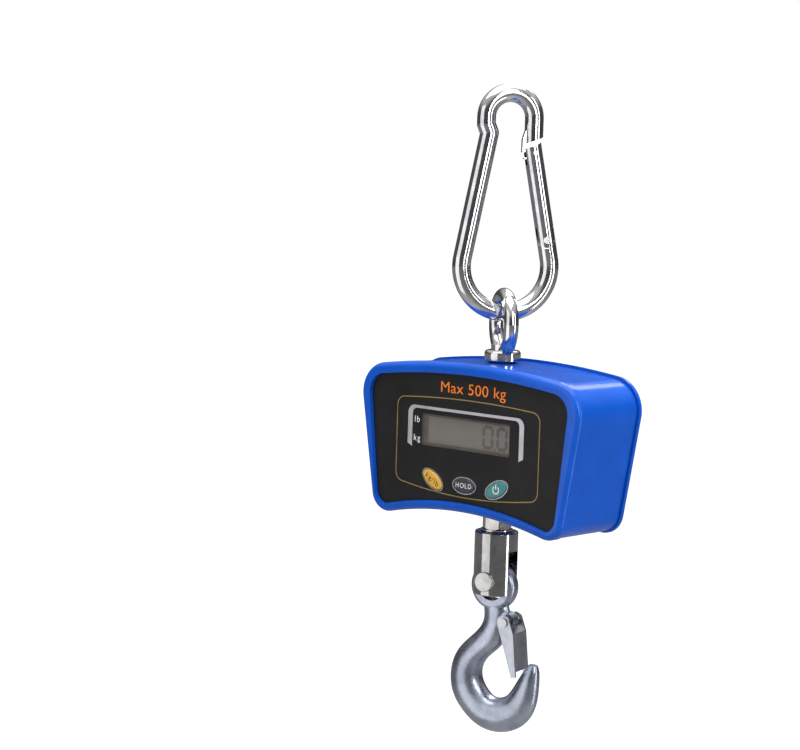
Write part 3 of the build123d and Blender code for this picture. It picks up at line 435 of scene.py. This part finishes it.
def display_graphics():
    """Everything printed on the panel and shown on the display."""
    face = PANEL_Y - INK
    solid_between("border", border_line(0.0), border_line(BORDER_LINE), face, PANEL_Y, MARKS["gold_ink"])
    lettering("capacity_mark", "Max 500 kg", 4.2, 37.4, 6.6, MARKS["orange_ink"], wide=1.15, spacing=1.05)
    lettering("unit_lb", "lb", -39.5, 16.4, 3.9, MARKS["white_ink"])
    lettering("unit_kg", "kg", -39.4, 5.3, 3.9, MARKS["white_ink"])
    lcd_zero(1, 9.8)
    lcd_zero(2, 20.7)
    point = [panel_point(x, z) for x, z in rounded_box(19.7, 4.4, 1.3, 1.3, 0.3)]
    solid_between("digit_point", point, None, GLASS_Y - INK, GLASS_Y, MARKS["lcd_ink"])


def window_shadow_liner():
    """Dark brown liner inside the window's opening, behind the lens; its inner walls show on the left and
    bottom as painted shadow of the window's frame on the display.
    """
    middle_x = (WINDOW_LOW.x + WINDOW_HIGH.x) / 2
    middle_z = (WINDOW_LOW.z + WINDOW_HIGH.z) / 2
    wide = WINDOW_HIGH.x - WINDOW_LOW.x - 2 * SHADOW_LINER_INSET
    high = WINDOW_HIGH.z - WINDOW_LOW.z - 2 * SHADOW_LINER_INSET
    outer = rounded_box(middle_x, middle_z, wide, high, 0.9 * MM)
    inner = rounded_box(middle_x, middle_z, wide - 2 * SHADOW_LINER_WALL, high - 2 * SHADOW_LINER_WALL, 0.4 * MM)
    lens_back = WINDOW_HIGH.y + 0.02 * MM
    # painted shade: the liner's dark brown walls stand for the window frame's shadow on the display
    solid_between("window_shadow_liner", outer, inner, lens_back, GLASS_Y - 0.05 * MM, MARKS["gasket_brown"])


def window_mask():
    """Dark frame printed on the back of the lens, which hides the opening's edge."""
    middle_x = (WINDOW_LOW.x + WINDOW_HIGH.x) / 2
    middle_z = (WINDOW_LOW.z + WINDOW_HIGH.z) / 2
    wide, high = WINDOW_HIGH.x - WINDOW_LOW.x, WINDOW_HIGH.z - WINDOW_LOW.z
    outer = rounded_box(middle_x, middle_z, wide - 2 * MASK_EDGE, high - 2 * MASK_EDGE, 2.0 * MM)
    inner = rounded_box(middle_x, middle_z, wide - 2 * MASK_COVER, high - 2 * MASK_COVER, 0.5 * MM)
    back = WINDOW_HIGH.y - INK
    solid_between("window_mask", outer, inner, back - INK, back, MARKS["gasket_brown"])


def key_legends():
    """Generic legends on the three keys."""
    lettering("units_legend", "kg/lb", -24.8, -18.0, 3.5, MARKS["dark_ink"], "units_key", CAP_Y, -30)
    lettering("function_legend", "HOLD", 0.5, -18.7, 2.9, MARKS["white_ink"], "function_key", CAP_Y)
    outer = arc(POWER_SIGN, POWER_RING[1], 130, 410, 28)
    inner = arc(POWER_SIGN, POWER_RING[0], 410, 130, 28)
    ring = [panel_point(x, z) for x, z in outer + inner]
    front = CAP_Y - INK
    solid_between("power_ring", ring, None, front, CAP_Y, MARKS["white_ink"], "power_key")
    bar = [panel_point(x, z) for x, z in rounded_box(POWER_SIGN[0], -16.2, 0.62, 2.8, 0.3)]
    solid_between("power_bar", bar, None, front - INK, CAP_Y, MARKS["white_ink"], "power_key")


INKS = {                         # each printed mark's kind of material and its settings, and the brown that also paints the window frame's shadow
    "gold_ink": (satin_plastic, (0.22, 0.15, 0.045), (0.32, 0.22, 0.075), 0.4, 3000),
    "orange_ink": (satin_plastic, (0.82, 0.19, 0.008), (0.92, 0.23, 0.012), 0.45, 3000),
    "white_ink": (satin_plastic, (0.72, 0.72, 0.72), (0.84, 0.84, 0.84), 0.45, 3000),
    "dark_ink": (satin_plastic, (0.03, 0.025, 0.02), (0.05, 0.045, 0.04), 0.45, 3000),
    "lcd_ink": (satin_plastic, (0.045, 0.043, 0.042), (0.060, 0.057, 0.055), 0.4, 3000),
    # dark brown of the printed lens frame, also used as painted shadow on the liner's walls
    "gasket_brown": (satin_plastic, (0.040, 0.032, 0.028), (0.060, 0.050, 0.044), 0.6, 1200),
}
MARKS = {name: maker(name, *settings) for name, (maker, *settings) in INKS.items()}
display_graphics()
window_shadow_liner()
window_mask()
key_legends()


# ---------------------------------------------------------------- stage and camera
def area_light(name, place, aim, size, power):
    """A soft rectangular light at a place, turned towards its aim."""
    data = bpy.data.lights.new(name, "AREA")
    data.shape = "RECTANGLE"
    data.size, data.size_y = size
    data.energy = power
    light = bpy.data.objects.new(name, data)
    bpy.context.collection.objects.link(light)
    light.location = place
    light.rotation_euler = (Vector(aim) - Vector(place)).to_track_quat("-Z", "Y").to_euler()


def soft_world():
    """A white backdrop for the camera; reflections see a dimmer room with dark sides."""
    world = bpy.data.worlds.new("studio_world")
    bpy.context.scene.world = world
    world.use_nodes = True
    tree = world.node_tree
    back = tree.nodes["Background"]
    place = tree.nodes.new("ShaderNodeTexCoord")
    split = tree.nodes.new("ShaderNodeSeparateXYZ")
    tree.links.new(place.outputs["Generated"], split.inputs["Vector"])
    shift = tree.nodes.new("ShaderNodeMath")
    shift.operation = "MULTIPLY_ADD"
    shift.inputs[1].default_value = 0.5
    shift.inputs[2].default_value = 0.5
    tree.links.new(split.outputs["Z"], shift.inputs[0])
    greys = [(0.0, 0.5), (0.40, 0.22), (0.5, 0.07), (0.64, 0.12), (0.80, 0.75)]
    sky = ramp(tree, shift.outputs[0], greys)
    tree.links.new(sky, back.inputs["Color"])
    back.inputs["Strength"].default_value = 1.0
    seen = tree.nodes.new("ShaderNodeBackground")
    seen.inputs["Color"].default_value = (*WHITE, 1.0)
    seen.inputs["Strength"].default_value = 1.0
    path = tree.nodes.new("ShaderNodeLightPath")
    blend = tree.nodes.new("ShaderNodeMixShader")
    tree.links.new(path.outputs["Is Camera Ray"], blend.inputs[0])
    tree.links.new(back.outputs[0], blend.inputs[1])
    tree.links.new(seen.outputs[0], blend.inputs[2])
    tree.links.new(blend.outputs[0], tree.nodes["World Output"].inputs["Surface"])


def around(azimuth, distance, height):
    """A place at an angle round the object, 0 degrees in front of the display."""
    turn = radians(azimuth)
    return (distance * sin(turn), -distance * cos(turn), HOUSING_Z + height)


def studio_floor():
    """A wide pale floor below the object, which glows white for the camera alone."""
    floor_z = CAD_BOX[0][2] - FLOOR_DROP
    bpy.ops.mesh.primitive_plane_add(size=FLOOR_SIZE, location=(0, 0, floor_z))
    floor = bpy.context.object
    floor.name = "studio_floor"
    mat, tree, shader, place = new_material("studio_floor")
    tone = ramp(tree, noise(tree, place, 3, 2), [(0.3, 0.36), (0.7, 0.40)])
    tree.links.new(tone, shader.inputs["Base Color"])
    shader.inputs["Roughness"].default_value = 0.9
    shader.inputs["Specular IOR Level"].default_value = 0.0
    shader.inputs["Emission Color"].default_value = (*WHITE, 1.0)
    path = tree.nodes.new("ShaderNodeLightPath")
    glow = tree.nodes.new("ShaderNodeMath")
    glow.operation = "MULTIPLY"
    glow.inputs[1].default_value = 0.9
    tree.links.new(path.outputs["Is Camera Ray"], glow.inputs[0])
    tree.links.new(glow.outputs[0], shader.inputs["Emission Strength"])
    floor.data.materials.append(mat)


def softboxes():
    """Soft lights placed round the object, most of them near the camera's direction."""
    aim = (0, 0, HOUSING_Z)
    area_light("top_softbox", (0.0, -0.1, 1.0), (0, 0, -0.3), (1.4, 1.4), 20)
    area_light("front_softbox", around(-14, 1.3, -0.1), aim, (1.1, 2.0), 9)
    area_light("camera_softbox", around(70, 1.5, 0.62), aim, (0.40, 1.2), 10)
    area_light("side_softbox", around(104, 1.4, -0.1), aim, (0.24, 2.0), 8)
    area_light("rear_softbox", around(205, 0.9, 1.1), aim, (0.8, 0.8), 8)


def camera():
    """The camera at the photograph's viewing angle and distance."""
    azimuth, elevation, roll = [radians(angle) for angle in VIEW_ANGLES]
    data = bpy.data.cameras.new("camera")
    data.sensor_width = 36.0
    data.lens = VIEW_LENS
    data.clip_end = 50.0
    cam = bpy.data.objects.new("camera", data)
    bpy.context.collection.objects.link(cam)
    back = Vector((sin(azimuth) * cos(elevation), -cos(azimuth) * cos(elevation), sin(elevation)))
    right = Vector((cos(azimuth), sin(azimuth), 0))
    up = back.cross(right)
    turned_right = right * cos(roll) + up * sin(roll)
    turned_up = up * cos(roll) - right * sin(roll)
    rotation = Matrix((turned_right, turned_up, back)).transposed()
    cam.matrix_world = Matrix.Translation(VIEW_PLACE) @ rotation.to_4x4()
    bpy.context.scene.camera = cam


bpy.context.scene.view_settings.view_transform = "Standard"
camera()
studio_floor()
soft_world()
softboxes()
